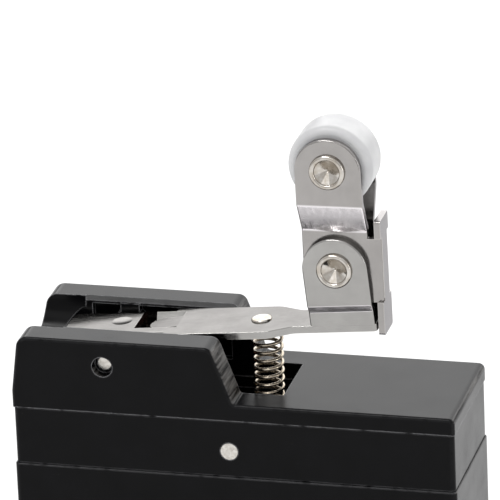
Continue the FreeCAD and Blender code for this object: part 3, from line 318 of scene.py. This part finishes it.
MATERIALS = {
    "case_plastic": moulded_plastic("case_plastic"),
    "band_plastic": moulded_plastic("band_plastic"),
    "head_plastic": moulded_plastic("head_plastic"),
    "rubber": soft_rubber("rubber"),
    # The screws' rims get a painted highlight.
    "screw_steel": mottled(
        "screw_steel", 1300.0, ((0.60, 0.59, 0.56), (0.44, 0.43, 0.42)), (0.22, 0.42),
        0.2, 0.015 * MM, edge=(0.15 * MM, 0.6, (0.8, 0.78, 0.74))),
    "pin_steel": mottled(
        "pin_steel", 2500.0, ((0.66, 0.64, 0.60), (0.50, 0.47, 0.43)), (0.22, 0.4),
        0.2, 0.01 * MM, detail=3.0),
    "base_resin": resin("base_resin", (0.16, 0.06, 0.035), (0.22, 0.09, 0.05)),
    "terminal_brass": brass("terminal_brass", (0.72, 0.52, 0.24), (0.45, 0.30, 0.14)),
    "contact_silver": mottled(
        "contact_silver", 1600.0, ((0.86, 0.85, 0.81), (0.6, 0.57, 0.5)), (0.12, 0.3),
        0.2, 0.01 * MM, low=0.4),
    "blade_bronze": brass("blade_bronze", (0.70, 0.43, 0.24), (0.42, 0.24, 0.12)),
    "plunger_resin": resin("plunger_resin", (0.42, 0.07, 0.04), (0.5, 0.1, 0.06)),
    "guide_brass": brass("guide_brass", (0.66, 0.50, 0.27), (0.42, 0.31, 0.16)),
    "lever_steel": stamped_steel(
        "lever_steel", base=(0.37, 0.362, 0.35), grain=(0.2, 1.0, 1.0), grazing=(0.2, 0.2, 0.21)),
    "arm_steel": stamped_steel(
        "arm_steel", base=(0.36, 0.345, 0.335), grain=(1.0, 1.0, 0.2), grazing=(0.68, 0.68, 0.70)),
    "rivet_nickel": plated_rivet("rivet_nickel"),
    "spring_steel": mottled(
        "spring_steel", 1500.0, ((0.44, 0.39, 0.32), (0.36, 0.30, 0.23)), (0.14, 0.3),
        0.15, 0.01 * MM, detail=4.0),
    "roller_nylon": white_nylon("roller_nylon"),
}


# ---------------------------------------------------------------------------------------
# Pieces
# ---------------------------------------------------------------------------------------
def dress_cad_nodes():
    """Every CAD node takes the detailed material of its own slot."""
    slots = {entry["node"]: entry["material_slot"] for entry in frame["record"]["subparts"]}
    for name, piece in NODES.items():
        piece.data.materials.clear()
        piece.data.materials.append(MATERIALS[slots[name]])


def return_coil():
    """The return spring as a piece of its own: a copy of the CAD spring, attached to the housing.
    """
    node = NODES["return_spring"]
    coil = bpy.data.objects.new("return_coil", node.data.copy())
    bpy.context.scene.collection.objects.link(coil)
    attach(coil, "housing")
    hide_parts("return_spring")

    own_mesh(coil)


# ---------------------------------------------------------------------------------------
# Stage: metres, watts and degrees
# ---------------------------------------------------------------------------------------
FLOOR_SIZE = 8.0
SKY_STRENGTH = 0.74
LAMP_AIM = (0.0, 0.0, 0.04)
LAMPS = (
    # name, place, width and height, power
    ("back_softbox", (0.1, 0.75, 0.42), (1.2, 0.6), 4.6),
    ("key_strip", (-0.2, -0.3, 0.75), (0.5, 0.1), 2.4),
    ("front_softbox", (-0.1, -0.9, 0.75), (0.9, 0.4), 1.0),
    ("side_strip", (0.75, -0.2, 0.13), (0.1, 0.3), 0.5),
)

# The camera looks at its target from this side, and is tilted a little about its own view.
AZIMUTH = 15.046
ELEVATION = 22.109
ROLL = -2.347
CAMERA_DISTANCE = 0.6672
CAMERA_TARGET = (0.00074, 0.0, 0.05189)
FOCAL_LENGTH = 437.5
SENSOR_WIDTH = 36.0
NEAREST_SEEN = 0.01


def floor():
    paper = Shader("floor_paper")
    fibres = paper.noise(40.0, detail=4.0)
    paper.finish(paper.mottle(fibres, (0.9, 0.9, 0.9), (0.93, 0.93, 0.93), low=0.3), 0.9)
    bpy.ops.mesh.primitive_plane_add(size=FLOOR_SIZE, location=(0, 0, 0))
    plane = bpy.context.object
    plane.name = "floor"
    plane.data.materials.append(paper.material)


def lights():
    world = bpy.data.worlds.new("studio")
    bpy.context.scene.world = world
    world.use_nodes = True
    sky = world.node_tree.nodes["Background"]
    sky.inputs["Color"].default_value = (1.0, 1.0, 1.0, 1.0)
    sky.inputs["Strength"].default_value = SKY_STRENGTH

    for name, place, size, power in LAMPS:
        lamp = bpy.data.lights.new(name, "AREA")
        lamp.shape = "RECTANGLE"
        lamp.size, lamp.size_y = size
        lamp.energy = power
        holder = bpy.data.objects.new(name, lamp)
        bpy.context.scene.collection.objects.link(holder)
        holder.location = place
        aim = Vector(LAMP_AIM) - holder.location
        holder.rotation_euler = aim.to_track_quat("-Z", "Y").to_euler()


def camera():
    azimuth, elevation = math.radians(AZIMUTH), math.radians(ELEVATION)
    back = Vector((math.sin(azimuth) * math.cos(elevation),
                   -math.cos(azimuth) * math.cos(elevation), math.sin(elevation)))
    lens = bpy.data.cameras.new("camera")
    lens.lens = FOCAL_LENGTH
    lens.sensor_width = SENSOR_WIDTH
    lens.clip_start = NEAREST_SEEN
    holder = bpy.data.objects.new("camera", lens)
    bpy.context.scene.collection.objects.link(holder)
    holder.location = Vector(CAMERA_TARGET) + back * CAMERA_DISTANCE
    level = (-back).to_track_quat("-Z", "Y").to_matrix()
    holder.rotation_euler = (level @ Matrix.Rotation(math.radians(ROLL), 3, "Z")).to_euler()
    bpy.context.scene.camera = holder


dress_cad_nodes()
return_coil()
floor()
lights()
camera()
bpy.context.scene.view_settings.view_transform = "Standard"
